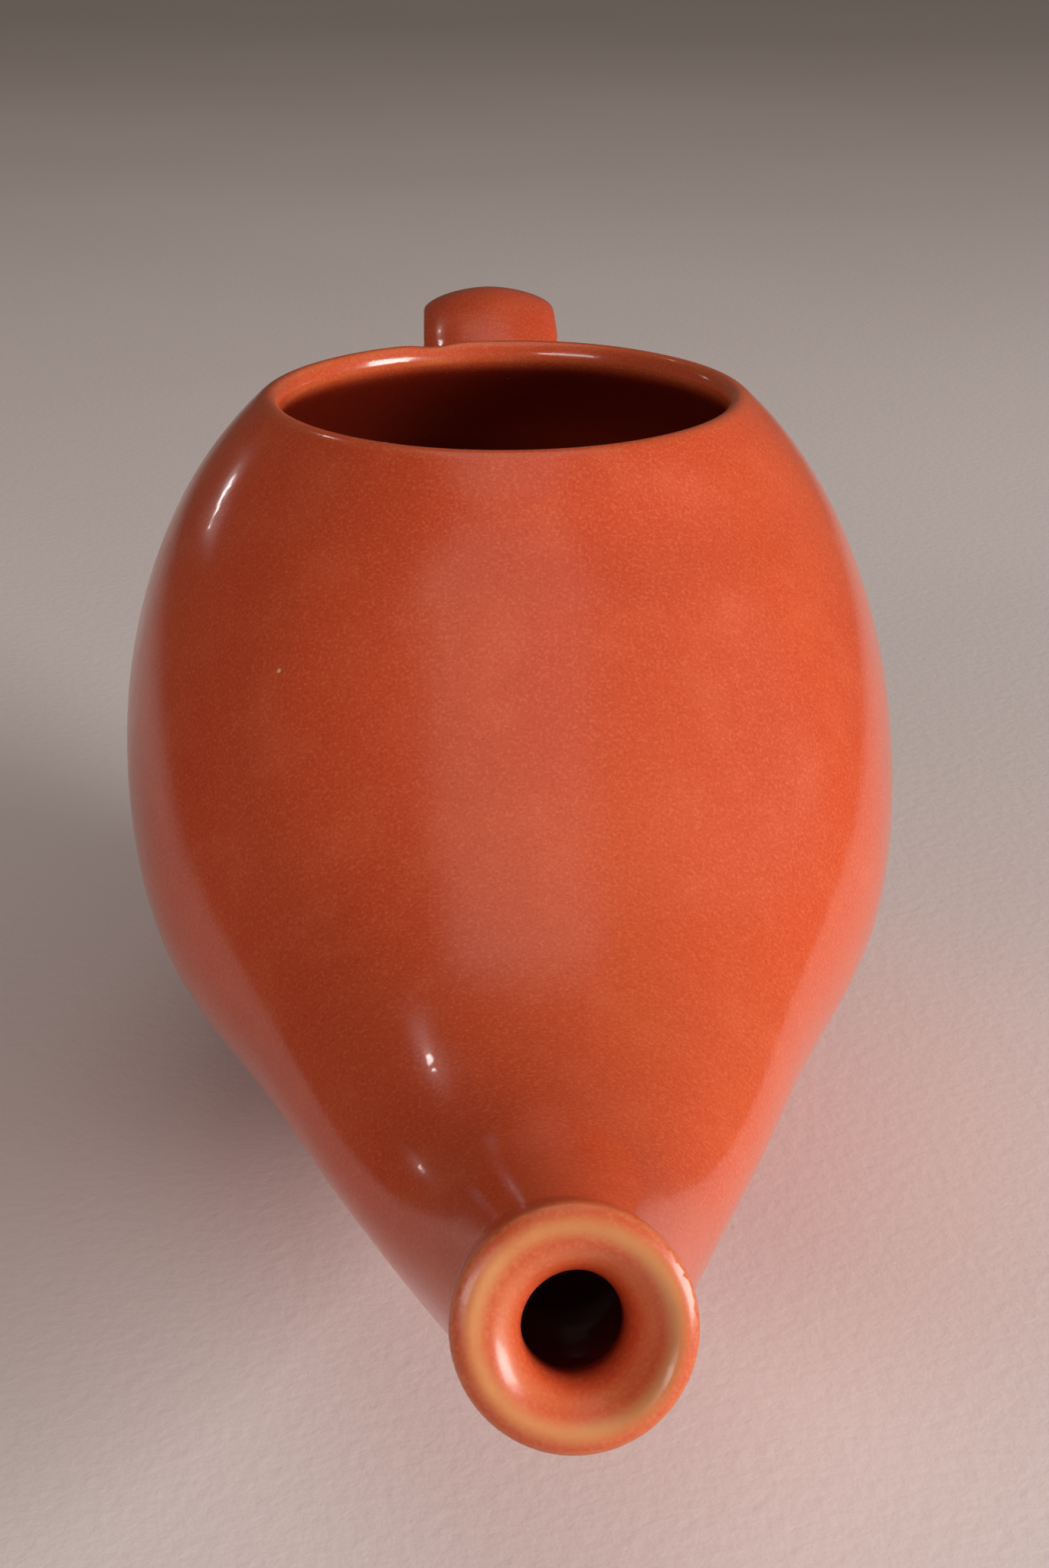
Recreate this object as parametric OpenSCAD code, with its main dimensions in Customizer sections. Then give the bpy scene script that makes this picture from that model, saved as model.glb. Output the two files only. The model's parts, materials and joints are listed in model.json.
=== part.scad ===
// Small ceramic rinsing pitcher: an egg-shaped bulb with a round opening on top, drawn out at the
// front into a tapered spout with a rolled collar, and with a strap loop behind the opening.
// Millimetres. +Z is up and -Y is the way the spout points. The origin lies on the table, straight
// below the centre of the round opening. The plane X = 0 is the mirror plane.

/* [Bulb] */
// Width of the bulb at its widest level
bulb_w = 86; // [80:1:92]
// Reach of the rounded back behind the centre of the opening
bulb_back = 45; // [42:1:48]
// Height of the widest level, measured under the opening
belly_z = 42; // [40:1:44]
// Thickness of the clay
wall = 3.6; // [3:0.2:4.2]

/* [Opening] */
// Height of the lip's crest above the table
rim_z = 80; // [78:1:82]
// Diameter of the lip's crest
crest_d = 53; // [51:1:54]
// Height of the rolled lip
lip_h = 4; // [3.5:0.5:4.5]

/* [Spout] */
// Level distance from the centre of the opening to the centre of the spout's mouth
spout_reach = 120; // [117:1:124]
// Height of the centre of the mouth
mouth_z = 40; // [38:1:43]
// Angle by which the mouth looks up
mouth_tilt = 26; // [22:1:30]
// Outer diameter of the rolled collar
collar_d = 17; // [16:0.5:18]
// Diameter of the pouring hole
throat_d = 7.6; // [7:0.2:8.4]
// Length of the collar along the spout
collar_l = 8; // [7:0.5:9]

/* [Handle] */
// Width of the strap
strap_w = 17; // [15:1:18]
// Thickness of the strap at its middle
strap_t = 6; // [5:0.5:7]
// Reach of the loop behind the back of the bulb
loop_reach = 24; // [21:1:27]
// Height of the top of the loop
loop_z = 81; // [79:1:83]

/* [Foot] */
// Outer diameter of the foot ring
foot_d = 48; // [44:1:50]
// Width of the foot ring's flat face
foot_face = 4; // [3:0.5:5]
// Height of the foot ring
foot_h = 3; // [2.5:0.5:4]

/* [Hidden] */

SIDES = 48; // facets round the bulb and the spout
BACK_RINGS = 15; // sections from the back to the middle of the opening
FRONT_RINGS = 17; // sections from there to the seam of the spout
SPOUT_RINGS = 14; // sections of the spout
STRAP_SIDES = 20; // facets round the strap
STRAP_RINGS = 34; // sections along the strap
ROUND = 96; // facets of the turned parts, where they are drawn

bulb_a = bulb_w / 2;
seam_z = rim_z - lip_h; // the level at which the lip sits on the bulb
crest_r = crest_d / 2;
seam_r = crest_r + 3.6; // outside of the lip where it meets the bulb
seam_in = crest_r - 1.1; // inside of the lip at the same level
foot_r = foot_d / 2;
floor_z = foot_h + wall; // inside of the bottom
floor_r = 15; // flat stretch of the inside of the bottom
collar_r = collar_d / 2;
throat_r = throat_d / 2;
neck_r = collar_r - 0.6; // outside of the spout where the collar sits on it
neck_in = neck_r - wall; // inside of the spout at the same place
neck_d = spout_reach - collar_l * cos(mouth_tilt);
neck_z = mouth_z - collar_l * sin(mouth_tilt);
spout_seam = 62; // distance at which the spout is joined to the bulb

// Stations along the front, each [distance ahead, half width, height of the widest level].
SPINE = [
    [0, bulb_a, belly_z], [20, bulb_a - 1, belly_z - 1.8], [40, bulb_a - 6, belly_z - 6],
    [60, bulb_a - 15.5, belly_z - 10], [80, 19.5, mouth_z - 8.8], [96, 13, mouth_z - 8],
    [neck_d, neck_r, neck_z]
];
// Rise of the back line above the widest level, from the lip forward, outside and inside the clay
RISE = [
    [seam_r, seam_z - level(seam_r)], [40, 31.5], [60, 18.2], [80, 11], [96, 9], [neck_d, neck_r]
];
RISE_IN = [
    [seam_in, seam_z - level(seam_in)], [40, 31.5 - 1.3 * wall], [60, 18.2 - 1.15 * wall],
    [80, 11 - wall], [96, 9 - wall], [neck_d, neck_in]
];
// Drop of the keel below the widest level, from the foot forward, outside and inside the clay
DROP = [
    [foot_r, level(foot_r) - foot_h], [40, 27.6], [60, 17.2], [80, 12], [96, 9.6], [neck_d, neck_r]
];
DROP_IN = [
    [floor_r, level(floor_r) - floor_z], [40, 27.6 - 1.2 * wall], [60, 17.2 - 1.1 * wall],
    [80, 12 - wall], [96, 9.6 - wall], [neck_d, neck_in]
];
// Lean of the sections: upright under the opening, square to the mouth at the end
LEAN = [[0, 0], [40, 3], [60, 8], [80, 14], [96, 20], [neck_d, mouth_tilt]];

// Smooth curve through stations: s is a list of [distance, value...], c the column, d the distance.
function gap(s, i) = s[i + 1][0] - s[i][0];
function steep(s, c, i) =
    i == 0 ? (s[0][0] == 0 ? 0 : (s[1][c] - s[0][c]) / gap(s, 0))
    : i == len(s) - 1 ? (s[i][c] - s[i - 1][c]) / gap(s, i - 1)
    : (s[i + 1][c] - s[i - 1][c]) / (s[i + 1][0] - s[i - 1][0]);
function span(s, d, i = 0) = i < len(s) - 2 && d > s[i + 1][0] ? span(s, d, i + 1) : i;
function blend(s, c, i, u) =
    s[i][c] * (1 + 2 * u) * pow(1 - u, 2) + steep(s, c, i) * gap(s, i) * u * pow(1 - u, 2)
    + s[i + 1][c] * u * u * (3 - 2 * u) + steep(s, c, i + 1) * gap(s, i) * u * u * (u - 1);
function curve(s, c, d) = let (i = span(s, d)) blend(s, c, i, (d - s[i][0]) / gap(s, i));

// Half width and widest level at a distance ahead; behind the opening the plan is an ellipse. skin
// is the clay left outside the surface: 0 for the outside and wall for the inside.
function half_width(d, skin) = d < 0
    ? (bulb_a - skin) * sqrt(max(0, 1 - pow(d / (bulb_back - skin), 2))) : curve(SPINE, 1, d) - skin;
function level(d) = d < 0 ? belly_z : curve(SPINE, 2, d);
function lean(d) = d < 0 ? 0 : curve(LEAN, 1, d);

// How far an elliptical section must reach up or down to cut the level at height h in a circle r.
function cut_in_circle(h, r, d, a) = h / sqrt(1 - (r * r - d * d) / (a * a));
function back_fall(r, d, reach) = sqrt(max(0, (reach * reach - d * d) / (reach * reach - r * r)));

// Reach of a section from the widest level to height h at the circle r, and from there along a table
function reach(d, r, h, skin, table) =
    d < -r ? h * back_fall(r, d, bulb_back - skin)
    : d <= r ? cut_in_circle(h, r, d, half_width(d, skin)) : curve(table, 1, d);

// One ring of points: an egg-shaped section, leaning by t, kept at or above the height base.
function ring(d, a, up, down, t, base) = [for (k = [0:SIDES - 1])
    let (w = 360 * k / SIDES, h = sin(w) * (sin(w) > 0 ? up : down))
    [a * cos(w), h * sin(t) - d, max(base, level(d) + h * cos(t))]];

function outer_ring(d) = ring(d, half_width(d, 0), reach(d, seam_r, seam_z - level(d), 0, RISE),
    reach(d, foot_r, level(d) - foot_h, 0, DROP), lean(d), foot_h);
function inner_ring(d) = ring(d, half_width(d, wall),
    reach(d, seam_in, seam_z - level(d), wall, RISE_IN),
    reach(d, floor_r, level(d) - floor_z, wall, DROP_IN), lean(d), floor_z);

// Distances of the sections, closer together where the back rounds off
back_steps = [for (i = [1:BACK_RINGS]) -sin(90 * (1 - i / BACK_RINGS))];
front_steps = [for (i = [1:FRONT_RINGS]) spout_seam * i / FRONT_RINGS];
spout_steps = [for (i = [0:SPOUT_RINGS]) spout_seam + (neck_d - spout_seam) * i / SPOUT_RINGS];

// Faces between n consecutive rings that start at point number p
function sleeve(p, n, sides) = [for (i = [0:n - 2], k = [0:sides - 1], h = [0, 1])
    let (j = (k + 1) % sides, a = p + i * sides, b = a + sides)
    h == 0 ? [a + k, b + k, a + j] : [a + j, b + k, b + j]];
function sleeve_in(p, n, sides) = [for (f = sleeve(p, n, sides)) [f[0], f[2], f[1]]];
function fan(p, tip, sides) = [for (k = [0:sides - 1]) [tip, p + k, p + (k + 1) % sides]];
function fan_in(p, tip, sides) = [for (f = fan(p, tip, sides)) [f[0], f[2], f[1]]];
// Faces of the flat end between the ring at p and the ring at q inside it
function flat_end(p, q, sides) = [for (k = [0:sides - 1], h = [0, 1]) let (j = (k + 1) % sides)
    h == 0 ? [p + k, q + k, p + j] : [p + j, q + k, q + j]];
function flat_end_in(p, q, sides) = [for (f = flat_end(p, q, sides)) [f[0], f[2], f[1]]];

module bulb_shell() {
    outer_d = concat([for (s = back_steps) s * bulb_back], front_steps);
    inner_d = concat([for (s = back_steps) s * (bulb_back - wall)], front_steps);
    n = len(outer_d);
    half = n * SIDES;
    points = concat(
        [for (d = outer_d, p = outer_ring(d)) p], [for (d = inner_d, p = inner_ring(d)) p],
        [[0, bulb_back, belly_z], [0, bulb_back - wall, belly_z]]);
    polyhedron(points, concat(
        sleeve(0, n, SIDES), fan(0, 2 * half, SIDES),
        sleeve_in(half, n, SIDES), fan_in(half, 2 * half + 1, SIDES),
        flat_end(half - SIDES, 2 * half - SIDES, SIDES)));
}

module body() {
    color("coral")
    difference() {
        bulb_shell();
        translate([-bulb_w, -bulb_w, seam_z]) cube([2 * bulb_w, 2 * bulb_w, 40]);
    }
}

// Section of the rolled lip: up the outside, over the crest, down the inside and back to the bulb
function arc(x, z, rx, rz, from, to, n) = [for (i = [0:n]) let (w = from + (to - from) * i / n)
    [x + rx * cos(w), z + rz * sin(w)]];
module rim() {
    roll = 2.1;
    color("coral")
    rotate_extrude($fn = ROUND) polygon(concat(
        [[seam_r, seam_z]],
        arc(crest_r, rim_z - 2.3, 2.55, 2.3, 38, 90, 5),
        arc(crest_r, rim_z - 2.3, roll, 2.3, 102, 180, 6),
        arc(crest_r, rim_z - 2.3, roll, 1.7, 198, 216, 1),
        [[seam_in, seam_z]]));
}

module spout() {
    n = len(spout_steps);
    half = n * SIDES;
    points = concat([for (d = spout_steps, p = outer_ring(d)) p],
        [for (d = spout_steps, p = inner_ring(d)) p]);
    color("coral")
    polyhedron(points, concat(
        sleeve(0, n, SIDES), sleeve_in(half, n, SIDES),
        flat_end(half - SIDES, 2 * half - SIDES, SIDES), flat_end_in(0, half, SIDES)));
}

// The collar, turned about the axis of the mouth: a waist, a full round edge and a dished face
module spout_lip() {
    edge = 2.2; // radius of the round edge
    dish = 1; // depth of the dished face at the hole
    soft = 0.9; // radius that softens the edge of the hole
    color("sandybrown")
    translate([0, -neck_d, neck_z]) rotate([90 - mouth_tilt, 0, 0])
    rotate_extrude($fn = ROUND) polygon(concat(
        [[throat_r, 0], [neck_r, 0], [neck_r - 0.1, collar_l - 5.4]],
        arc(collar_r - edge, collar_l - edge, edge, edge, -35, 100, 9),
        arc(throat_r + soft, collar_l - dish - soft, soft, soft, 80, 180, 5)));
}

// Route of the strap in the mirror plane: shoulder, top, back and lower root
back_y = bulb_back + loop_reach - strap_t / 2;
top_z = loop_z - strap_t / 2;
ROUTE = [
    [0, 24, seam_z - 9], [1, 38, top_z - 4.5], [2, 51, top_z], [3, back_y - 5, top_z - 7],
    [4, back_y, top_z - 20], [5, back_y - 5, 44], [6, back_y - 15, 32], [7, 36, 24]
];
function route(u) = [0, curve(ROUTE, 1, u), curve(ROUTE, 2, u)];
function unit(v) = v / norm(v);
function strap_ring(u) = let (
    p = route(u), t = unit(route(min(7, u + 0.02)) - route(max(0, u - 0.02))), out = [0, -t[2], t[1]],
    root = 1 + 0.28 * pow(abs(u / 3.5 - 1), 6))
    [for (k = [0:STRAP_SIDES - 1]) let (w = 360 * k / STRAP_SIDES)
    p + [root * strap_w / 2 * cos(w), 0, 0] + out * (root * strap_t / 2 * sin(w))];

module bulb_core() {
    outer_d = concat([for (s = back_steps) s * bulb_back], [front_steps[0]]);
    n = len(outer_d);
    points = concat([for (d = outer_d, p = outer_ring(d)) p],
        [[0, bulb_back, belly_z], [0, -front_steps[0], belly_z]]);
    polyhedron(points, concat(sleeve(0, n, SIDES), fan(0, n * SIDES, SIDES),
        fan_in((n - 1) * SIDES, n * SIDES + 1, SIDES)));
}

module handle() {
    points = concat([for (i = [0:STRAP_RINGS], p = strap_ring(7 * i / STRAP_RINGS)) p],
        [route(0), route(7)]);
    last = STRAP_RINGS * STRAP_SIDES;
    color("indianred")
    difference() {
        polyhedron(points, concat(sleeve(0, STRAP_RINGS + 1, STRAP_SIDES),
            fan(0, last + STRAP_SIDES, STRAP_SIDES), fan_in(last, last + STRAP_SIDES + 1, STRAP_SIDES)));
        bulb_core();
    }
}

module foot_ring() {
    edge = 0.8;
    inner = foot_r - foot_face - 2 * edge;
    color("tan")
    rotate_extrude($fn = ROUND) polygon(concat(
        [[inner, foot_h]], arc(inner + edge, edge, edge, edge, 180, 270, 4),
        arc(foot_r - edge, edge, edge, edge, 270, 360, 4), [[foot_r, foot_h]]));
}

body();
rim();
spout();
spout_lip();
handle();
foot_ring();
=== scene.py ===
"""Looks of the small ceramic rinsing pitcher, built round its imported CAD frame.

The pot is described once, as a signed distance field in millimetres: the bulb and spout, the rolled
lip, the collar of the mouth, the strap and the foot, blended as wet clay is. The field is meshed, and
the mesh is cut at the seams of the CAD nodes into one closed piece per node.
"""

import json
import math

import bmesh
import bpy
import numpy as np
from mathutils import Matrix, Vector


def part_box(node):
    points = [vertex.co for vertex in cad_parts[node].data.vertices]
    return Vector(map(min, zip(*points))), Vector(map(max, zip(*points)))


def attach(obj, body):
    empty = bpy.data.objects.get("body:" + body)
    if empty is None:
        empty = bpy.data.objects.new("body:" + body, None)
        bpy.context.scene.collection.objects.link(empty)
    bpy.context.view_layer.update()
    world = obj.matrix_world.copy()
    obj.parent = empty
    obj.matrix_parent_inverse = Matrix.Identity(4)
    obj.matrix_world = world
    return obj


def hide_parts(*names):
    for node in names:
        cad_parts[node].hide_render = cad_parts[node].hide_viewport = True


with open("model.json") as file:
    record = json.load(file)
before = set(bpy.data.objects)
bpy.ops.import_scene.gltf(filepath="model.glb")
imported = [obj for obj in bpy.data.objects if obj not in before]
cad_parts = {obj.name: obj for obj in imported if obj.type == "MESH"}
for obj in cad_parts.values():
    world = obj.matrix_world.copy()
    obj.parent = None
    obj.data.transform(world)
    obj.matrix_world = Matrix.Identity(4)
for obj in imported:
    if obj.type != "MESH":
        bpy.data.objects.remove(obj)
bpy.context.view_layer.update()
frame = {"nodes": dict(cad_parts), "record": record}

MM = 0.001


# ------------------------------------------------------------------ driving dimensions, millimetres

def node_box(name):
    low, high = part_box(name)
    return np.array(low) / MM, np.array(high) / MM


_, BODY_HIGH = node_box("body")
RIM_LOW, RIM_HIGH = node_box("rim")
_, FOOT_HIGH = node_box("foot_ring")
_, STRAP_HIGH = node_box("handle")
NODE_BOXES = [node_box(name) for name in frame["nodes"]]
LOW = np.min([low for low, _ in NODE_BOXES], axis=0)
HIGH = np.max([high for _, high in NODE_BOXES], axis=0)
THROAT = next(m for m in frame["record"]["mounts"] if m["name"] == "throat")

HALF_W = BODY_HIGH[0]
BACK = BODY_HIGH[1]
SEAM_Z = RIM_LOW[2]
SEAM_R = RIM_HIGH[0]
FOOT_R = FOOT_HIGH[0]
FOOT_H = FOOT_HIGH[2]
THROAT_R = THROAT["dims"]["r_mm"]
AXIS = np.array(THROAT["axis"], float)
AXIS /= np.linalg.norm(AXIS)
NECK = np.array(THROAT["pos_m"], float) / MM - AXIS * THROAT["dims"]["length_mm"] / 2

BELLY_Z = 42.0  # height of the widest level
DOME = 47.6  # height of the bulb's unopened top above that level
WALL = 3.6
FLOOR = 6.6  # height of the inside of the bottom
OPENING_R = SEAM_R - 5.5
LIP_FLARE = 0.5  # how far the opening widens for each millimetre up
LIP_ROUND = 2.4  # how softly the wall's top turns into the opening
LIP_DENT = 0.4  # depth of the small dent in the back of the lip
DENT_X = -7.5  # where the dent is, across
DENT_WIDE = 2.4
TURNED_FROM = 66.0  # from this height up the bulb becomes a turned shape
OPEN_FROM = 60.0  # the opening is cut only above this height
OPEN_BACK = 36.0  # and only ahead of this, which spares the strap
COLLAR_R = 8.75
COLLAR_L = 8.0
COLLAR_EDGE = 1.5  # radius of the collar's round edge
COLLAR_DISH = 0.42  # slope of the collar's dished face
COLLAR_CREST = COLLAR_R - COLLAR_EDGE
FUNNEL_R = 5.25  # radius where the dished face turns into the throat
FUNNEL_FROM = 3.0  # how far past the neck the throat starts to open
FUNNEL_SKEW = (0.9, -0.8)  # how far the throat wanders at the face, across and up
NECK_R = 7.9
FOOT_T = 5.6  # thickness of the foot ring's wall
FOOT_TOP = 7.0  # how high the ring's wall reaches up into the bottom
FOOT_OUT = 4.0  # how far outside the bulb's skin the ring may stand
BOTTOM_Z = FOOT_H + 0.6  # height of the flat bottom inside the ring
THROAT_IN = 2.0  # how far behind the neck the throat's bore starts
HOLLOW_PAST = 0.5  # how far past the neck the hollow of the spout runs

# How softly one shape turns into the next, in millimetres
COLLAR_BLEND = 2.4
STRAP_BLEND = 5.0
BOTTOM_BLEND = 1.0
RING_EDGE = 1.6
FOOT_BLEND = 1.4
FLOOR_BLEND = 4.0
THROAT_BLEND = 1.5
INSIDE_EDGE = 2.0

NECK_D = -NECK[1]
TILT = math.degrees(math.asin(AXIS[2]))  # of the mouth's axis
SPOUT_SEAM = 62.0  # how far ahead the spout joins the bulb

# Stations ahead of the opening: [distance, half width, widest level, rise, drop, lean in degrees]
STATIONS = np.array([
    [0, HALF_W, BELLY_Z, DOME, 45.5, 0],
    [15, HALF_W - 0.5, BELLY_Z - 1.1, 44.4, 42.6, 0.8],
    [30, HALF_W - 3.0, BELLY_Z - 3.8, 37.8, 34.2, 2],
    [40, HALF_W - 6.0, BELLY_Z - 6, 31.5, 27.6, 3],
    [60, HALF_W - 15.5, BELLY_Z - 10, 18.2, 17.2, 8],
    [80, 19.5, 31.2, 11.0, 12.0, 15],
    [96, 13.0, 32.0, 9.0, 9.6, 21],
    [NECK_D, NECK_R, NECK[2], NECK_R, NECK_R, TILT],
])

# Route of the strap in the mirror plane: [distance behind the opening, height]
STRAP_T = 6.0
STRAP_W = 17.0
STRAP_CROWN = 1.75  # 2 makes the section an ellipse, and less gives it a higher crown
STRAP_TOP = STRAP_HIGH[2] - STRAP_T / 2
STRAP_BACK = STRAP_HIGH[1] - STRAP_T / 2
STRAP_ROUTE = np.array([
    [24, SEAM_Z - 9], [38, STRAP_TOP - 4.5], [51, STRAP_TOP], [STRAP_BACK - 5, STRAP_TOP - 7],
    [STRAP_BACK, STRAP_TOP - 20], [STRAP_BACK - 5, 44], [STRAP_BACK - 15, 32], [36, 24],
])


# ------------------------------------------------------------------ curves

class Spline:
    """Cubic with continuous curvature through the points (x, y)."""

    def __init__(self, x, y):
        self.x, self.y = np.asarray(x, float), np.asarray(y, float)
        n = len(self.x)
        gap = np.diff(self.x)
        rows = np.zeros((n, n))
        want = np.zeros(n)
        rows[0, 0] = rows[-1, -1] = 1.0
        for i in range(1, n - 1):
            rows[i, i - 1:i + 2] = gap[i - 1], 2 * (gap[i - 1] + gap[i]), gap[i]
            steps = (self.y[i + 1] - self.y[i]) / gap[i] - (self.y[i] - self.y[i - 1]) / gap[i - 1]
            want[i] = 6 * steps
        self.bend = np.linalg.solve(rows, want)

    def __call__(self, x):
        x = np.clip(x, self.x[0], self.x[-1])
        i = np.clip(np.searchsorted(self.x, x, side="right") - 1, 0, len(self.x) - 2)
        gap = self.x[i + 1] - self.x[i]
        left, right = (self.x[i + 1] - x) / gap, (x - self.x[i]) / gap
        curve = (left**3 - left) * self.bend[i] + (right**3 - right) * self.bend[i + 1]
        return left * self.y[i] + right * self.y[i + 1] + curve * gap**2 / 6


def front_spline(column, back_value):
    """Spline of one column of STATIONS, led in by points of the curve that lies behind the opening."""
    lead = np.array([-30.0, -20.0, -10.0])
    x = np.concatenate([lead, STATIONS[:, 0]])
    y = np.concatenate([back_value(lead), STATIONS[:, column]])
    return Spline(x, y)


def back_ellipse(size):
    return lambda d: size * np.sqrt(1 - (d / BACK) ** 2)


half_width = front_spline(1, back_ellipse(HALF_W))
level = front_spline(2, lambda d: BELLY_Z + 0 * d)
rise = front_spline(3, back_ellipse(DOME))
drop = front_spline(4, back_ellipse(STATIONS[0, 4]))
lean = front_spline(5, lambda d: 0 * d)


# ------------------------------------------------------------------ the field, negative inside clay

def soft_min(a, b, k):
    h = np.maximum(k - np.abs(a - b), 0) / k
    return np.minimum(a, b) - h * h * k / 4


def soft_max(a, b, k):
    return -soft_min(-a, -b, k)


def smooth_step(low, high, v):
    t = np.clip((v - low) / (high - low), 0, 1)
    return t * t * (3 - 2 * t)


def section_place(y, z):
    """Distance ahead and height within the leaning section that holds each point (y, z)."""
    d = -y
    for _ in range(7):
        ahead = np.clip(d, 0, NECK_D)
        slope = np.tan(np.radians(lean(ahead)))
        d = -y + (z - level(ahead)) * slope
    ahead = np.clip(d, 0, NECK_D)
    turn = np.radians(lean(ahead))
    height = (z - level(ahead)) * np.cos(turn) + (y + ahead) * np.sin(turn)
    behind = d < 0
    return np.where(behind, -y, np.clip(d, 0, NECK_D)), np.where(behind, z - BELLY_Z, height)


def bulb_and_spout(x, y, z):
    """Outside of the bulb drawn out into the spout, before the opening and the flat bottom."""
    d, h = section_place(y, z)
    ahead = np.maximum(d, 0)
    wide = half_width(ahead)
    tall = np.where(h > 0, rise(ahead), drop(ahead))
    back = np.minimum(d, 0) / BACK
    q = np.sqrt((x / wide) ** 2 + (h / tall) ** 2 + back**2) + 1e-6
    steep = np.sqrt((x / wide**2) ** 2 + (h / tall**2) ** 2 + (back / BACK) ** 2) / q
    return (q - 1) / np.maximum(steep, 1e-3)


def turned_shoulder(rho, z):
    """The bulb's top as a turned shape, so that the opening is round."""
    up = z - BELLY_Z
    q = np.sqrt((rho / HALF_W) ** 2 + (up / DOME) ** 2) + 1e-6
    steep = np.sqrt((rho / HALF_W**2) ** 2 + (up / DOME**2) ** 2) / q
    return (q - 1) / np.maximum(steep, 1e-3)


def strap_table():
    """Finely spaced points of the strap's route with their directions and share of the length."""
    u = np.arange(len(STRAP_ROUTE))
    fine = np.linspace(0, len(STRAP_ROUTE) - 1, 160)
    points = np.stack([Spline(u, STRAP_ROUTE[:, k])(fine) for k in (0, 1)], -1)
    run = np.gradient(points, axis=0)
    run /= np.linalg.norm(run, axis=1, keepdims=True)
    return points, run, fine / fine[-1]


STRAP_POINTS, STRAP_RUN, STRAP_SHARE = strap_table()


def strap(x, y, z):
    """The strap: an oval section, a little wider and thicker at its roots."""
    field = np.full(x.shape, 50.0)
    near = (y > 18) & (np.abs(x) < 24)
    xs, yz = x[near], np.stack([y[near], z[near]], -1)
    if len(xs) == 0:
        return field
    best = np.full(len(xs), 1e9)
    pick = np.zeros(len(xs), int)
    for i, point in enumerate(STRAP_POINTS):
        away = ((yz - point) ** 2).sum(1)
        closer = away < best
        best[closer] = away[closer]
        pick[closer] = i
    offset = yz - STRAP_POINTS[pick]
    run = STRAP_RUN[pick]
    across = offset[:, 0] * run[:, 1] - offset[:, 1] * run[:, 0]
    along = offset[:, 0] * run[:, 0] + offset[:, 1] * run[:, 1]
    root = 1 + 0.22 * np.abs(2 * STRAP_SHARE[pick] - 1) ** 5
    wide, thick = STRAP_W / 2 * root, STRAP_T / 2 * root
    over, up = np.abs(xs) / wide, np.abs(across) / thick
    q = (over**STRAP_CROWN + up**STRAP_CROWN) ** (1 / STRAP_CROWN) + 1e-6
    lean_in = STRAP_CROWN - 1
    steep = np.hypot(over**lean_in / wide, up**lean_in / thick) / q**lean_in
    section = (q - 1) / np.maximum(steep, 1e-2)
    field[near] = np.maximum(section, np.abs(along) - 1.0)
    return field


def wobble(x, y, z):
    """The slow unevenness of a hand-finished wall, a tenth of a millimetre or so."""
    return 0.10 * (
        np.sin(x / 11 + 0.7) * np.sin(y / 14 + 1.9) * np.sin(z / 12 + 0.4)
        + 0.6 * np.sin(x / 6.3 + 2.1) * np.sin(y / 7.7 + 0.3) * np.sin(z / 8.1 + 1.1)
    )


def mouth_place(points):
    """Height above the neck, distance off the axis, and the same for the funnel-shaped throat."""
    offset = points - NECK
    from_neck = offset @ AXIS
    across, up = offset[:, 0], offset @ np.array([0, AXIS[2], -AXIS[1]])
    open_up = smooth_step(FUNNEL_FROM, COLLAR_L, from_neck)
    skew_x, skew_up = FUNNEL_SKEW
    off_throat = np.hypot(across - skew_x * open_up, up - skew_up * open_up)
    throat_r = THROAT_R + (FUNNEL_R - THROAT_R) * open_up**1.5
    return from_neck, np.hypot(across, up), off_throat, throat_r


def inner(points):
    """Painted shade: 1 on the inside of the bulb, spout and throat, which the glaze paints dark to
    stand in for the shade there, and 0 outside.
    """
    deep = -bulb_and_spout(*points.T)
    from_neck = (points - NECK) @ AXIS
    near_face = smooth_step(COLLAR_L - 5.5, COLLAR_L - 2.0, from_neck)
    z = points[:, 2]
    below_lip = smooth_step(FLOOR - 2, FLOOR, z) * (1 - smooth_step(SEAM_Z - 0.5, SEAM_Z + 1, z))
    return smooth_step(1.4, 3.0, deep) * below_lip * (1 - near_face)


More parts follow.
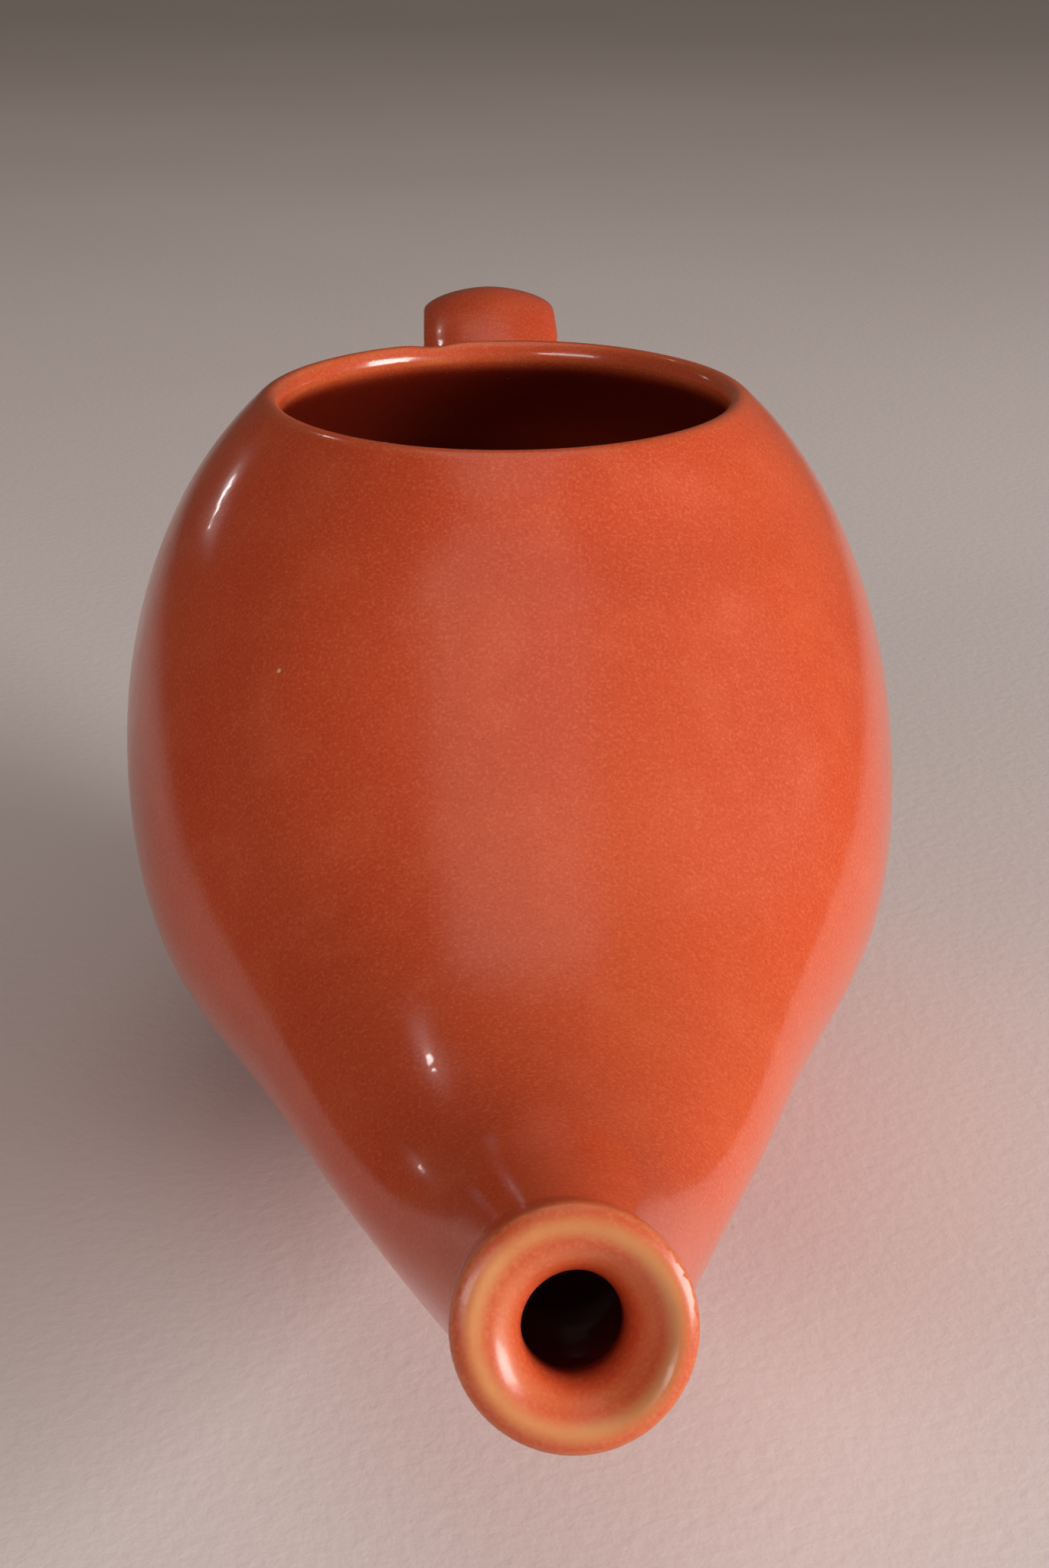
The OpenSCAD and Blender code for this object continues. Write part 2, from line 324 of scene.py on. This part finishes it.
def pot(points):
    """Signed distance of the whole pot, in millimetres."""
    x, y, z = points[:, 0], points[:, 1], points[:, 2]
    rho = np.hypot(x, y)
    outside = bulb_and_spout(x, y, z)
    turned = smooth_step(TURNED_FROM, SEAM_Z + 1, z)
    outside = (1 - turned) * outside + turned * turned_shoulder(rho, z)
    outside += wobble(x, y, z) * smooth_step(FOOT_H, FOOT_H + 6, z)
    dent = np.exp(-(((x - DENT_X) / DENT_WIDE) ** 2))
    dent = dent * smooth_step(15, 22, y) * smooth_step(33, 28, rho)
    outside += LIP_DENT * dent * smooth_step(75, 79, z)
    hollow = soft_max(outside + WALL, FLOOR - z, FLOOR_BLEND)

    from_neck, off_axis, off_throat, throat_r = mouth_place(points)
    dip = COLLAR_DISH * soft_max(COLLAR_CREST - off_axis, 0 * off_axis, 2.0)
    swell = smooth_step(-1.0, COLLAR_L - COLLAR_EDGE, from_neck)
    side = off_axis - (COLLAR_CREST - (COLLAR_R - NECK_R) * (1 - swell))
    top = from_neck + dip - (COLLAR_L - COLLAR_EDGE)
    rounded = np.hypot(np.maximum(side, 0), np.maximum(top, 0)) - COLLAR_EDGE
    collar = np.maximum(rounded + np.minimum(np.maximum(side, top), 0), -from_neck)

    clay = np.maximum(outside, from_neck - (COLLAR_L - COLLAR_EDGE))
    clay = soft_min(clay, collar, COLLAR_BLEND)
    clay = soft_min(clay, strap(x, y, z), STRAP_BLEND)
    clay = soft_max(clay, BOTTOM_Z - z, BOTTOM_BLEND)
    wall_off = np.abs(rho - (FOOT_R - FOOT_T / 2)) - FOOT_T / 2
    ring = soft_max(wall_off, np.abs(z - FOOT_TOP / 2) - FOOT_TOP / 2, RING_EDGE)
    clay = soft_min(clay, np.maximum(ring, outside - FOOT_OUT), FOOT_BLEND)

    throat = np.maximum(off_throat - throat_r, -THROAT_IN - from_neck)
    hollow = soft_min(np.maximum(hollow, from_neck - HOLLOW_PAST), throat, THROAT_BLEND)
    clay = soft_max(clay, -hollow, INSIDE_EDGE)

    edge_r = OPENING_R + LIP_FLARE * np.maximum(z - SEAM_Z - 2, -1)
    opened = soft_max(clay, 0.9 * (edge_r - rho), LIP_ROUND)
    return np.where((z > OPEN_FROM) & (y < OPEN_BACK), opened, clay)


# ------------------------------------------------------------------ meshing the field

def sample(low, high, step):
    """The field on a regular grid, worked out in slabs to keep memory small."""
    axes = [np.arange(low[k], high[k] + step, step) for k in range(3)]
    values = np.empty([len(a) for a in axes], np.float32)
    yy, zz = np.meshgrid(axes[1], axes[2], indexing="ij")
    for i, x in enumerate(axes[0]):
        slab = np.stack([np.full(yy.size, x), yy.ravel(), zz.ravel()], -1)
        values[i] = pot(slab).reshape(yy.shape)
    return axes, values


def block(values, start, shape):
    """The part of a grid that begins at start and has the given shape."""
    i, j, k = start
    return values[i:i + shape[0], j:j + shape[1], k:k + shape[2]]


def surface_net(axes, values):
    """One vertex in each cell that the surface crosses, and one quad for each crossed grid edge."""
    inside = values < 0
    count = np.zeros([n - 1 for n in values.shape], np.float32)
    total = np.zeros(count.shape + (3,), np.float32)
    for axis in range(3):
        for shift in ((0, 0), (0, 1), (1, 0), (1, 1)):
            start = np.insert(np.array(shift), axis, 0)
            end = start.copy()
            end[axis] = 1
            a, b = block(values, start, count.shape), block(values, end, count.shape)
            crossed = (a < 0) != (b < 0)
            share = np.where(crossed, a / np.where(crossed, a - b, 1), 0)
            count += crossed
            for k in range(3):
                total[..., k] += np.where(crossed, share if k == axis else start[k], 0)
    cells = count > 0
    number = np.full(count.shape, -1, np.int64)
    number[cells] = np.arange(cells.sum())
    place = np.argwhere(cells) + total[cells] / count[cells][:, None]
    origin = np.array([a[0] for a in axes])
    step = axes[0][1] - axes[0][0]
    vertices = origin + place * step

    quads = []
    for axis in range(3):
        u, v = [(1, 2), (2, 0), (0, 1)][axis]
        first = [slice(1, -1)] * 3
        second = [slice(1, -1)] * 3
        first[axis], second[axis] = slice(0, -1), slice(1, None)
        a, b = inside[tuple(first)], inside[tuple(second)]
        where = np.argwhere(a != b)
        goes_out = a[tuple(where.T)]
        where = where + 1
        where[:, axis] -= 1
        around = []
        for du, dv in ((-1, -1), (0, -1), (0, 0), (-1, 0)):
            cell = where.copy()
            cell[:, u] += du
            cell[:, v] += dv
            around.append(number[tuple(cell.T)])
        face = np.stack(around, -1)
        face[~goes_out] = face[~goes_out][:, ::-1]
        quads.append(face)
    return vertices, np.concatenate(quads)


def gradient(points, reach=0.05):
    slope = np.empty_like(points)
    for k in range(3):
        move = np.zeros(3)
        move[k] = reach
        slope[:, k] = (pot(points + move) - pot(points - move)) / (2 * reach)
    return slope


def unit_rows(v):
    return v / np.maximum(np.linalg.norm(v, axis=1, keepdims=True), 1e-9)


def settle(points, rounds):
    """Moves points along the field's slope until they lie on the surface."""
    for _ in range(rounds):
        slope = gradient(points)
        size = np.maximum((slope**2).sum(1), 0.1)
        points = points - slope * np.clip(pot(points) / size, -0.6, 0.6)[:, None]
    return points


def relax(points, quads, rounds):
    """Evens out the vertices along the surface, then puts them back on it."""
    pairs = np.concatenate([quads[:, [k, (k + 1) % 4]] for k in range(4)])
    degree = np.maximum(np.bincount(pairs.ravel(), minlength=len(points)), 1)
    for _ in range(rounds):
        mean = np.stack([
            np.bincount(pairs[:, 0], points[pairs[:, 1], k], len(points))
            + np.bincount(pairs[:, 1], points[pairs[:, 0], k], len(points)) for k in range(3)
        ], -1) / degree[:, None]
        normal = unit_rows(gradient(points))
        shift = mean - points
        shift -= normal * (shift * normal).sum(1, keepdims=True)
        points = settle(points + 0.6 * shift, 1)
    return settle(points, 1)


# ------------------------------------------------------------------ cutting it into the pieces

CELL = 0.85  # spacing of the mesh, millimetres
FINE_BELOW = 8000  # a piece with fewer faces than this is meshed twice as finely
SEAM_CLEAR = 7.5  # the strap is cut where its middle stands this far off the bulb
ON_SEAM = 0.01  # an edge this near to a seam's plane lies in it, millimetres
SHARP_STEP = 0.5  # distance over which the bend of the surface is measured


def strap_seams():
    """The two places where the strap leaves the bulb, each as a point and the strap's direction."""
    stand_off = bulb_and_spout(np.zeros(len(STRAP_POINTS)), *STRAP_POINTS.T)
    clear = np.flatnonzero(stand_off > SEAM_CLEAR)
    for i in (clear[0], clear[-1]):
        yield np.array([0, *STRAP_POINTS[i]]), np.array([0, *STRAP_RUN[i]])


def seams():
    """Each seam as a point, a normal, its reach, and its reach within the Y-Z plane.

    A strap seam's second reach is short, so that its cut spares the bulb beside it.
    """
    ahead = math.radians(float(lean(SPOUT_SEAM)))
    forward = np.array([0, -math.cos(ahead), math.sin(ahead)])
    up = np.array([0, 0, 1.0])
    yield np.array([0, 0, SEAM_Z]), up, SEAM_R + 1.0, SEAM_R + 1.0
    yield np.array([0, 0, FOOT_H]), up, FOOT_R + 3.0, FOOT_R + 3.0
    yield np.array([0, -SPOUT_SEAM, float(level(SPOUT_SEAM))]), forward, HALF_W, HALF_W
    yield NECK, AXIS, 2 * NECK_R, 2 * NECK_R
    for point, run in strap_seams():
        yield point, run, STRAP_W / 2 + 4.0, STRAP_T + 1.0


def cut(bm, point, normal, reach, tall):
    """Cuts the mesh along a plane near the point and parts the faces on its two sides."""
    near = []
    for face in bm.faces:
        away = np.array(face.calc_center_median()) - point
        in_reach = away @ away < reach**2 and np.hypot(away[1], away[2]) < tall
        if in_reach and abs(away @ normal) < 3 * CELL:
            near.append(face)
    held = {g for face in near for g in (face, *face.edges, *face.verts)}
    made = bmesh.ops.bisect_plane(
        bm, geom=list(held), dist=1e-4, plane_co=Vector(point), plane_no=Vector(normal))
    edges = [g for g in made["geom_cut"] if isinstance(g, bmesh.types.BMEdge)]
    bmesh.ops.split_edges(bm, edges=edges)


def islands(bm):
    """Groups of faces that are joined to each other."""
    seen = set()
    for start in bm.faces:
        if start in seen:
            continue
        group, stack = [], [start]
        seen.add(start)
        while stack:
            face = stack.pop()
            group.append(face)
            for edge in face.edges:
                fresh = [other for other in edge.link_faces if other not in seen]
                seen.update(fresh)
                stack.extend(fresh)
        yield group


def node_of(middle):
    """The CAD node that a parted shell belongs to, by the middle of its box."""
    _, y, z = middle
    if z > SEAM_Z and abs(y) < FOOT_R:
        return "rim"
    if z < FOOT_H:
        return "foot_ring"
    if y > BACK:
        return "handle"
    if y < -NECK_D:
        return "spout_lip"
    return "spout" if y < -SPOUT_SEAM else "body"


def close(bm, planes):
    """Fills the open loops that lie in each seam's plane, and turns every face outwards."""
    for face in bm.faces:
        face.smooth = True
    for point, normal, reach, _ in planes:
        point, normal = Vector(point), Vector(normal)
        loop = []
        for edge in bm.edges:
            if edge.is_boundary:
                ends = [v.co - point for v in edge.verts]
                if all(abs(e.dot(normal)) < ON_SEAM and e.length < reach + 3 for e in ends):
                    loop.append(edge)
        if loop:
            made = bmesh.ops.triangle_fill(bm, edges=loop, normal=normal, use_beauty=True)
            for face in made["geom"]:
                if isinstance(face, bmesh.types.BMFace):
                    face.smooth = False
    bmesh.ops.recalc_face_normals(bm, faces=bm.faces)
    if bm.calc_volume(signed=True) < 0:
        bmesh.ops.reverse_faces(bm, faces=bm.faces)
    return sum(edge.is_boundary for edge in bm.edges)


def thinness(points):
    """Where glaze has pulled thin, 0 to 1: over tight outward bends, and on the collar's crest."""
    around = sum(pot(points + move) + pot(points - move) for move in SHARP_STEP * np.eye(3))
    bend = (around - 6 * pot(points)) / SHARP_STEP**2
    from_neck, off_axis, _, _ = mouth_place(points)
    crest = np.exp(-(((off_axis - COLLAR_CREST) / 0.8) ** 2))
    crest *= smooth_step(COLLAR_L - 1.6, COLLAR_L - 0.4, from_neck)
    throat_edge = 0.35 * np.exp(-(((off_axis - FUNNEL_R) / 0.9) ** 2))
    throat_edge *= smooth_step(COLLAR_L - 3.0, COLLAR_L - 1.2, from_neck)
    return np.maximum(0.4 * smooth_step(0.35, 1.1, bend), np.maximum(crest, throat_edge))


def refine(bm):
    """Halves every edge, and puts the new points inside the piece back on the surface."""
    old = set(bm.verts)
    bmesh.ops.subdivide_edges(bm, edges=bm.edges, cuts=1, use_grid_fill=True)
    fresh = [v for v in bm.verts if v not in old and not v.is_boundary]
    for v, spot in zip(fresh, settle(np.array([v.co for v in fresh]), 2)):
        v.co = spot


def piece_from(name, groups, planes):
    """A closed Blender object from parted shells, with the field's own slopes as its normals."""
    bm = bmesh.new()
    copy = {}
    for face in (f for group in groups for f in group):
        corners = []
        for v in face.verts:
            if v not in copy:
                copy[v] = bm.verts.new(v.co)
            corners.append(copy[v])
        bm.faces.new(corners)
    if len(bm.faces) < FINE_BELOW:
        refine(bm)
    still_open = close(bm, planes)
    if still_open:
        print("open edges left in", name, still_open)
    mesh = bpy.data.meshes.new(name)
    bm.to_mesh(mesh)
    bm.free()

    points = np.empty(len(mesh.vertices) * 3)
    mesh.vertices.foreach_get("co", points)
    points = points.reshape(-1, 3)
    slopes = unit_rows(gradient(points, 0.15))
    # The second mask marks the inside walls, which are painted dark as shade.
    for mask, values in (("thin", thinness(points)), ("inner", inner(points))):
        layer = mesh.attributes.new(mask, "FLOAT", "POINT")
        layer.data.foreach_set("value", values.astype(np.float32))
    mesh.vertices.foreach_set("co", (points * MM).ravel())

    corner_vertex = np.empty(len(mesh.loops), np.int64)
    mesh.loops.foreach_get("vertex_index", corner_vertex)
    smooth = np.empty(len(mesh.polygons), bool)
    mesh.polygons.foreach_get("use_smooth", smooth)
    corners_in = np.empty(len(mesh.polygons), np.int64)
    mesh.polygons.foreach_get("loop_total", corners_in)
    normals = slopes[corner_vertex]
    normals[~np.repeat(smooth, corners_in)] = 0
    mesh.update()
    mesh.normals_split_custom_set(normals)

    obj = bpy.data.objects.new(name, mesh)
    bpy.context.scene.collection.objects.link(obj)
    return obj


def build_pot():
    """Meshes the field, cuts it at the seams, and returns one object for each CAD node."""
    vertices, quads = surface_net(*sample(LOW - 3 * CELL, HIGH + 3 * CELL, CELL))
    vertices = relax(settle(vertices, 2), quads, 3)
    whole = bpy.data.meshes.new("whole")
    whole.from_pydata(vertices.tolist(), [], quads.tolist())
    bm = bmesh.new()
    bm.from_mesh(whole)
    bpy.data.meshes.remove(whole)
    pinched = [edge for edge in bm.edges if len(edge.link_faces) > 2]
    bmesh.ops.collapse(bm, edges=pinched)
    planes = list(seams())
    for plane in planes:
        cut(bm, *plane)
    groups = {}
    for group in islands(bm):
        spots = np.array([v.co for face in group for v in face.verts])
        middle = (spots.min(0) + spots.max(0)) / 2
        groups.setdefault(node_of(middle), []).append(group)
    made = {name: piece_from("clay_" + name, shells, planes) for name, shells in groups.items()}
    bm.free()
    return made


# ------------------------------------------------------------------ materials

def linear(*srgb):
    """A colour given as 0-255 screen values, as the linear colour that the shader takes."""
    part = [c / 255 for c in srgb]
    return [c / 12.92 if c <= 0.04045 else ((c + 0.055) / 1.055) ** 2.4 for c in part] + [1.0]


class Tree:
    """Short calls for building the nodes of a material, or of the world."""

    def __init__(self, owner, kind="BsdfPrincipled", output="OutputMaterial", space="Object"):
        owner.use_nodes = True
        self.owner = owner
        self.tree = owner.node_tree
        self.tree.nodes.clear()
        self.shader = self.add("ShaderNode" + kind)
        out = self.add("ShaderNode" + output)
        self.tree.links.new(self.shader.outputs[0], out.inputs["Surface"])
        self.place = self.add("ShaderNodeTexCoord").outputs[space]

    def add(self, kind, **inputs):
        node = self.tree.nodes.new(kind)
        self.set(node, **inputs)
        return node

    def feed(self, socket, value):
        """Links another node's output to the socket, or sets a plain value on it."""
        if isinstance(value, bpy.types.NodeSocket):
            self.tree.links.new(value, socket)
        else:
            socket.default_value = value

    def set(self, node, **inputs):
        for name, value in inputs.items():
            self.feed(node.inputs[name.replace("_", " ")], value)

    def noise(self, scale, detail=2.0, roughness=0.5):
        node = self.add("ShaderNodeTexNoise", Scale=scale, Detail=detail, Roughness=roughness,
                        Vector=self.place)
        return node.outputs["Fac"]

    def dots(self, scale):
        node = self.add("ShaderNodeTexVoronoi", Scale=scale, Randomness=1.0, Vector=self.place)
        return node.outputs["Distance"]

    def ramp(self, value, low, high, at_low=0.0, at_high=1.0):
        node = self.add("ShaderNodeMapRange", Value=value)
        node.interpolation_type = "SMOOTHSTEP"
        self.set(node, From_Min=low, From_Max=high, To_Min=at_low, To_Max=at_high)
        return node.outputs["Result"]

    def math(self, kind, a, b):
        node = self.add("ShaderNodeMath")
        node.operation = kind
        for socket, value in zip(node.inputs, (a, b)):
            self.feed(socket, value)
        return node.outputs["Value"]

    def mix(self, share, a, b):
        """Colour a turning into colour b; a Mix node's colour sockets are its 7th and 8th."""
        node = self.add("ShaderNodeMix")
        node.data_type = "RGBA"
        for socket, value in ((node.inputs[0], share), (node.inputs[6], a), (node.inputs[7], b)):
            self.feed(socket, value)
        return node.outputs[2]

    def bump(self, height, depth, strength=1.0, normal=None):
        node = self.add("ShaderNodeBump", Height=height, Distance=depth, Strength=strength)
        if normal is not None:
            self.set(node, Normal=normal)
        return node.outputs["Normal"]

    def attribute(self, name):
        node = self.add("ShaderNodeAttribute")
        node.attribute_name = name
        return node.outputs["Fac"]


def glazed(name, gloss, coat):
    """Glossy coral-orange glaze over red clay. It runs thin and ochre where an edge turns, and its
    inside is painted dark red as shade.
    """
    t = Tree(bpy.data.materials.new(name))
    clouds = t.noise(16, 3, 0.55)
    mottle = t.noise(150, 3, 0.6)
    grain = t.noise(3200, 2, 0.5)
    base = t.mix(t.ramp(clouds, 0.35, 0.68), linear(200, 73, 38), linear(210, 86, 47))
    base = t.mix(t.ramp(mottle, 0.45, 0.75, 0, 0.22), base, linear(222, 106, 64))
    base = t.mix(t.ramp(grain, 0.52, 0.68, 0, 0.24), base, linear(236, 128, 84))
    base = t.mix(t.ramp(grain, 0.46, 0.32, 0, 0.22), base, linear(160, 42, 18))
    base = t.mix(t.ramp(t.noise(34, 4, 0.6), 0.70, 0.82, 0, 0.22), base, linear(110, 48, 44))

    spots = t.ramp(t.dots(150), 0.055, 0.02)
    pinholes = t.math("MULTIPLY", spots, t.ramp(t.noise(60, 0), 0.60, 0.66))
    base = t.mix(t.math("MULTIPLY", pinholes, 0.8), base, linear(250, 190, 130))

    uneven = t.ramp(mottle, 0.3, 0.7, 0.75, 1.0)
    base = t.mix(t.math("MULTIPLY", t.attribute("thin"), uneven), base, linear(216, 146, 92))
    # Painted shade: the inside walls are painted a deep dark red, standing in for the shade inside the
    # pot, and their sheen is lowered too.
    inner_wall = t.attribute("inner")
    base = t.mix(t.math("MULTIPLY", inner_wall, 0.86), base, linear(104, 14, 7))

    waves = t.bump(t.noise(55, 2, 0.45), 0.0005, 0.30)
    peel = t.bump(t.noise(420, 2, 0.5), 0.0001, 0.25, waves)
    pits = t.bump(t.math("MULTIPLY", pinholes, -1.0), 0.0003, 0.8, peel)
    t.set(t.shader, Base_Color=base, IOR=1.5, Normal=pits)
    t.set(t.shader, Roughness=t.ramp(mottle, 0.3, 0.7, gloss, gloss + 0.09))
    t.set(t.shader, Specular_IOR_Level=t.ramp(inner_wall, 0.0, 1.0, 0.5, 0.25))
    t.set(t.shader, Coat_Weight=coat, Coat_Roughness=0.04, Coat_IOR=1.5, Coat_Normal=peel)
    return t.owner


def bare_clay(name):
    """Unglazed red earthenware: matt, sandy, with paler grog and a worn, darker standing edge."""
    t = Tree(bpy.data.materials.new(name))
    grain = t.noise(900, 4, 0.65)
    blotch = t.noise(45, 3, 0.6)
    base = t.mix(t.ramp(blotch, 0.35, 0.65), linear(176, 104, 74), linear(196, 128, 96))
    base = t.mix(t.ramp(grain, 0.58, 0.72, 0, 0.6), base, linear(222, 172, 140))
    base = t.mix(t.ramp(grain, 0.42, 0.30, 0, 0.5), base, linear(110, 58, 40))
    worn = t.ramp(t.attribute("thin"), 0.05, 0.4, 0, 0.45)
    base = t.mix(worn, base, linear(138, 84, 64))
    t.set(t.shader, Base_Color=base, Roughness=t.ramp(grain, 0.3, 0.7, 0.72, 0.92), IOR=1.45)
    rings = t.bump(t.noise(260, 3, 0.6), 0.0004, 0.6)
    t.set(t.shader, Normal=t.bump(grain, 0.00025, 0.8, rings))
    return t.owner


SLOT_OF = {"spout_lip": "thin_glaze", "foot_ring": "bare_clay"}
MATERIALS = {
    "glaze": glazed("glaze", 0.15, 0.35),
    "thin_glaze": glazed("thin_glaze", 0.27, 0.10),
    "bare_clay": bare_clay("bare_clay"),
}

for node, piece in build_pot().items():
    slot_name = SLOT_OF.get(node, "glaze")
    piece.data.materials.append(MATERIALS[slot_name])
    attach(piece, "root")
    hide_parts(node)


# ------------------------------------------------------------------ floor, lights and camera

def floor_material():
    """Plain pale plaster-like floor, with the least trace of pink, painted darker away from the middle
    as shade where the light falls off.
    """
    t = Tree(bpy.data.materials.new("floor"))
    cloudy = t.noise(3, 3, 0.5)
    base = t.mix(t.ramp(cloudy, 0.3, 0.7), linear(226, 214, 211), linear(232, 221, 218))
    # Painted shade: the floor is painted darker with distance from the middle under the pot, standing
    # in for the light falling off.
    far = t.add("ShaderNodeVectorMath")
    far.operation = "LENGTH"
    t.tree.links.new(t.place, far.inputs[0])
    base = t.mix(t.ramp(far.outputs["Value"], 0.25, 1.5, 0, 0.6), base, linear(150, 142, 136))
    t.set(t.shader, Base_Color=base, Roughness=0.85, Specular_IOR_Level=0.2)
    t.set(t.shader, Normal=t.bump(t.noise(600, 3, 0.6), 0.0003, 0.3))
    return t.owner


def add_floor(half_side):
    mesh = bpy.data.meshes.new("floor")
    corners = [(-1, -1), (1, -1), (1, 1), (-1, 1)]
    mesh.from_pydata([(x * half_side, y * half_side, 0) for x, y in corners], [], [(0, 1, 2, 3)])
    floor = bpy.data.objects.new("floor", mesh)
    mesh.materials.append(floor_material())
    bpy.context.scene.collection.objects.link(floor)


def add_light(name, spot, size, watts, colour):
    lamp = bpy.data.lights.new(name, "AREA")
    lamp.shape = "RECTANGLE"
    lamp.size, lamp.size_y = size
    lamp.energy = watts
    lamp.color = colour
    obj = bpy.data.objects.new(name, lamp)
    obj.location = spot
    obj.rotation_euler = (Vector(AIM) - Vector(spot)).to_track_quat("-Z", "Y").to_euler()
    bpy.context.scene.collection.objects.link(obj)


def world_light():
    """Soft room light: a paler strip overhead, dim and brown beyond the pot, dimmer on its left."""
    t = Tree(bpy.data.worlds.new("room"), "Background", "OutputWorld", "Generated")
    split = t.add("ShaderNodeSeparateXYZ", Vector=t.place)
    x, y, z = split.outputs
    sides = t.mix(t.ramp(x, -0.5, 0.9), linear(98, 90, 84), linear(190, 180, 172))
    beyond = t.math("MULTIPLY", t.ramp(y, 0.0, 0.35), t.ramp(z, 0.93, 0.86))
    light = t.mix(t.math("MULTIPLY", beyond, 0.8), sides, linear(84, 70, 58))
    strip = t.math("MULTIPLY", t.ramp(t.math("ABSOLUTE", x, 0), 0.34, 0.18), t.ramp(z, 0.80, 0.93))
    light = t.mix(strip, light, linear(244, 236, 230))
    t.set(t.shader, Color=light, Strength=0.72)
    bpy.context.scene.world = t.owner


CAMERA_SPOT = Vector((-10.4, -258.5, 140.0)) * MM
CAMERA_TURN = math.radians(2.8)  # to the right of straight ahead
CAMERA_DIP = math.radians(22.7)
FLOOR_HALF_SIDE = 4.0
AIM = (0, -0.02, 0.045)  # the middle of the pot, which every lamp faces

# Each lamp: name, place, size across and down, watts, colour
LAMPS = [
    ("key", (0.86, -0.46, 0.34), (0.50, 0.40), 10.0, (1.0, 0.985, 0.965)),
    ("front", (-0.55, -0.72, 0.45), (0.50, 0.16), 2.0, (1, 1, 1)),
    ("glint_high", (-0.50, 0.68, 0.92), (0.03, 0.04), 0.12, (1, 1, 1)),
    ("glint_low", (-0.82, 0.80, 0.38), (0.02, 0.04), 0.05, (1, 1, 1)),
]

camera_data = bpy.data.cameras.new("camera")
camera_data.lens = 54.09
camera_data.sensor_width = 36.0
camera_data.clip_start = 0.01
camera = bpy.data.objects.new("camera", camera_data)
camera.location = CAMERA_SPOT
gaze = Vector((
    math.sin(CAMERA_TURN) * math.cos(CAMERA_DIP),
    math.cos(CAMERA_TURN) * math.cos(CAMERA_DIP),
    -math.sin(CAMERA_DIP),
))
camera.rotation_euler = gaze.to_track_quat("-Z", "Y").to_euler()
bpy.context.scene.collection.objects.link(camera)
bpy.context.scene.camera = camera

add_floor(FLOOR_HALF_SIDE)
world_light()
for lamp in LAMPS:
    add_light(*lamp)
bpy.context.scene.view_settings.view_transform = "Standard"
